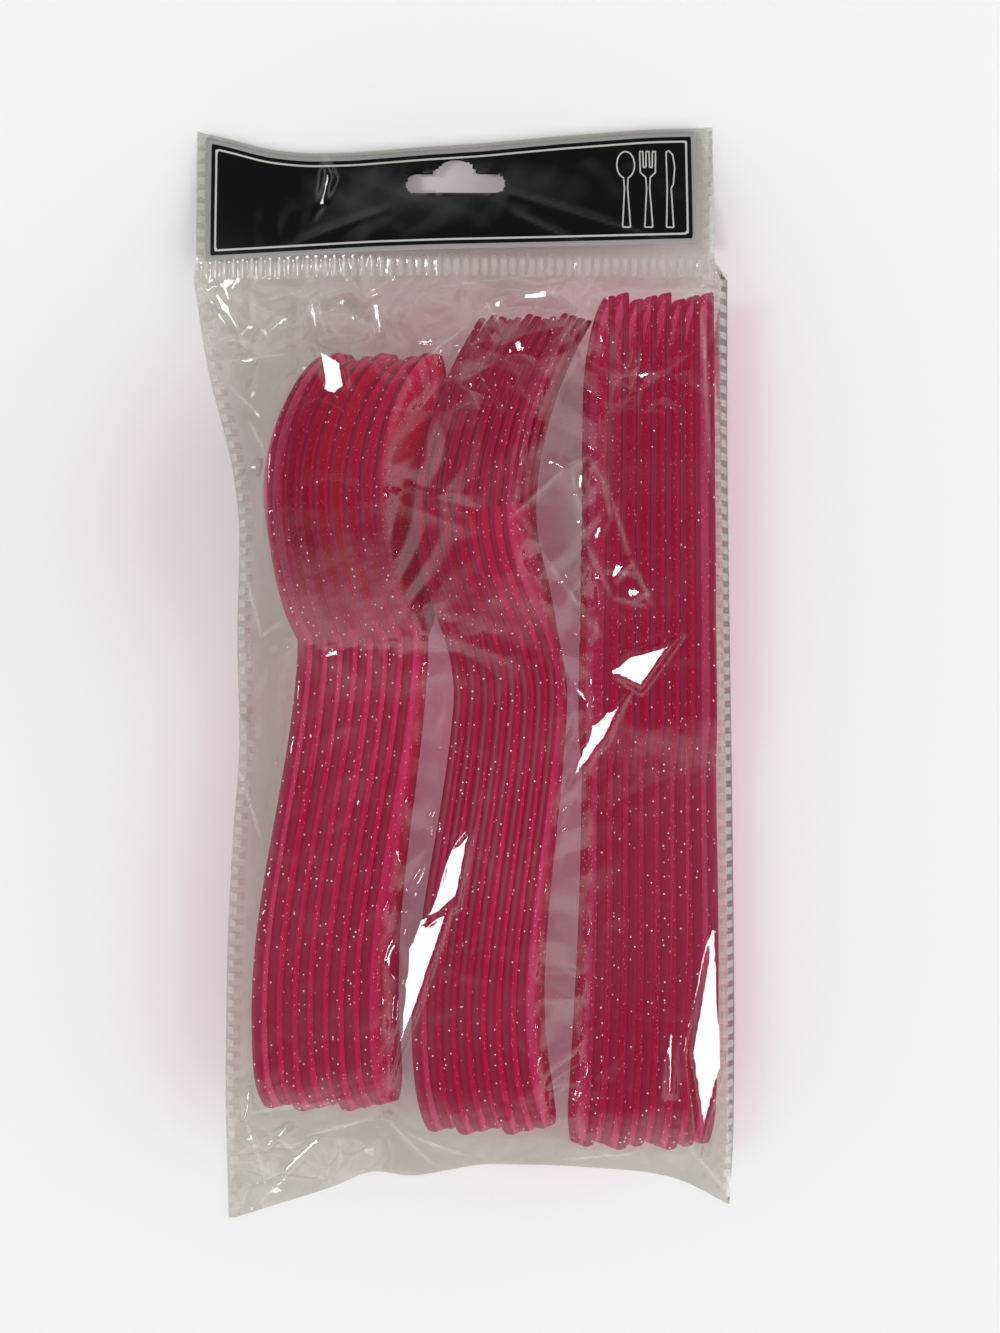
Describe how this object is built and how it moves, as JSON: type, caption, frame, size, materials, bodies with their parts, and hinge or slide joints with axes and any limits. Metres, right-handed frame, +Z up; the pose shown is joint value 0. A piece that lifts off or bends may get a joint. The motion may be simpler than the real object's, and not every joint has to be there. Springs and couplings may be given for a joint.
{
  "type": "plastic cutlery pack",
  "caption": "Clear film header bag with a hang slot and a black card, holding nested translucent crimson glitter plastic spoons, forks and knives.",
  "frame": {"origin": "middle of the pack's box, on the underside that lies on the table", "axes": "+Z up from the table, +Y along the pack towards the header and its hang slot, +X across the pack from spoons to knives"},
  "size_m": [0.1246, 0.248, 0.0317],
  "materials": {
    "crimson_glitter_plastic": "glossy translucent crimson polystyrene with fine silver and pink glitter",
    "clear_film": "glossy clear polypropylene film with creases",
    "black_card": "satin black print on card, silver border line"
  },
  "bodies": {
    "root": {"film_bag": "clear_film", "header_card": "black_card", "spoon_1": "crimson_glitter_plastic", "spoon_2": "crimson_glitter_plastic", "spoon_3": "crimson_glitter_plastic", "spoon_4": "crimson_glitter_plastic", "spoon_5": "crimson_glitter_plastic", "spoon_6": "crimson_glitter_plastic", "spoon_7": "crimson_glitter_plastic", "spoon_8": "crimson_glitter_plastic", "fork_1": "crimson_glitter_plastic", "fork_2": "crimson_glitter_plastic", "fork_3": "crimson_glitter_plastic", "fork_4": "crimson_glitter_plastic", "fork_5": "crimson_glitter_plastic", "fork_6": "crimson_glitter_plastic", "fork_7": "crimson_glitter_plastic", "fork_8": "crimson_glitter_plastic", "knife_1": "crimson_glitter_plastic", "knife_2": "crimson_glitter_plastic", "knife_3": "crimson_glitter_plastic", "knife_4": "crimson_glitter_plastic", "knife_5": "crimson_glitter_plastic", "knife_6": "crimson_glitter_plastic", "knife_7": "crimson_glitter_plastic", "knife_8": "crimson_glitter_plastic"}
  },
  "joints": []
}
